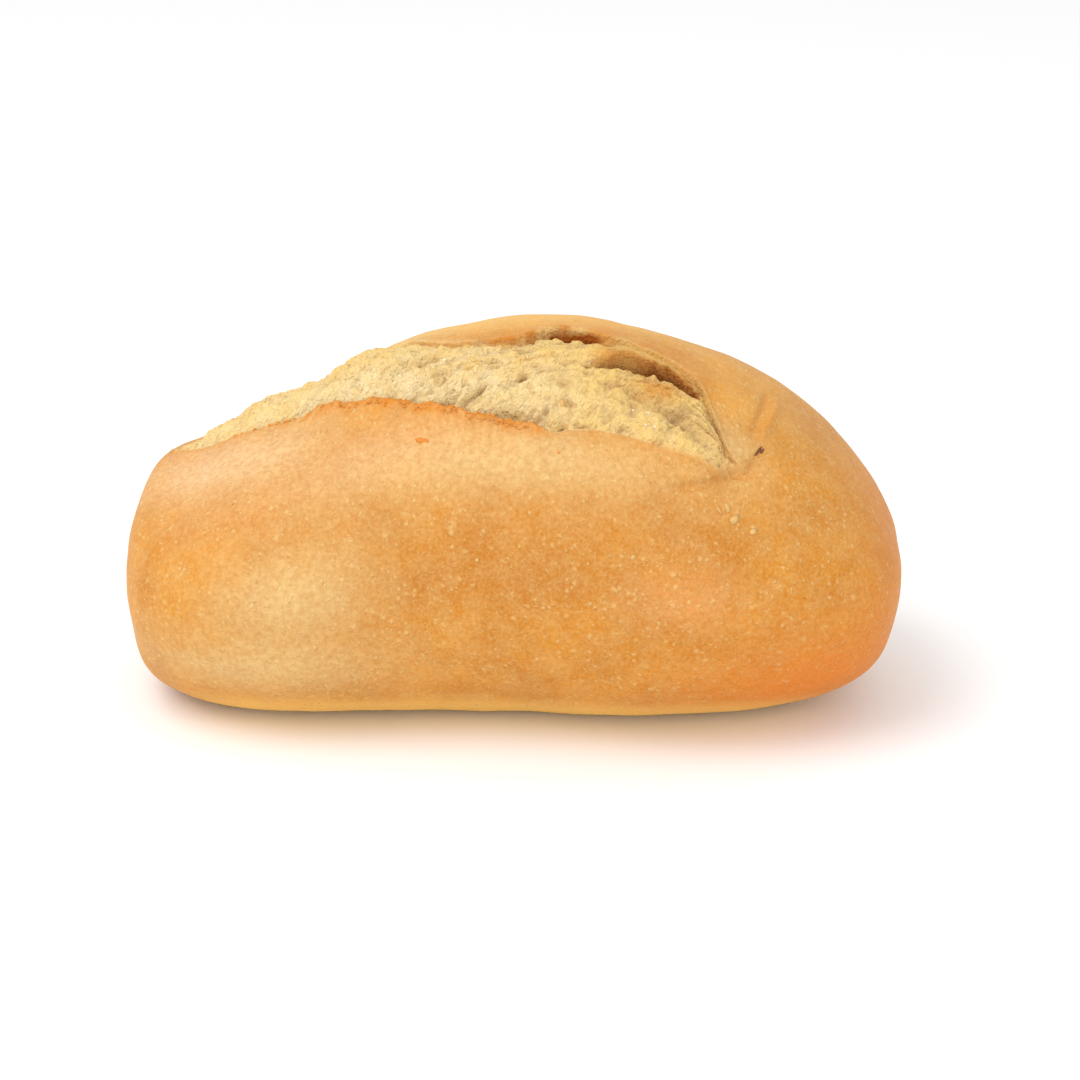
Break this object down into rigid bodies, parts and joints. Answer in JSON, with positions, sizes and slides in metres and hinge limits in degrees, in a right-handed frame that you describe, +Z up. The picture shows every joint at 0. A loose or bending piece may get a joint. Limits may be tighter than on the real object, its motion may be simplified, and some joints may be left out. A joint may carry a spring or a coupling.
{
  "type": "bolillo bread roll",
  "caption": "Stubby crusty bread roll with blunt rounded ends and one lengthwise score that has torn open over pale crumb.",
  "frame": {"origin": "centre of the roll's footprint, on the face it rests on", "axes": "+X along the roll towards its fuller, smoother end, -Y towards the side that faces the camera, +Z up"},
  "size_m": [0.1282, 0.0706, 0.0635],
  "materials": {
    "crust": "dry baked crust with a slight sheen"
  },
  "bodies": {
    "root": {"bolillo": "crust"}
  },
  "joints": []
}
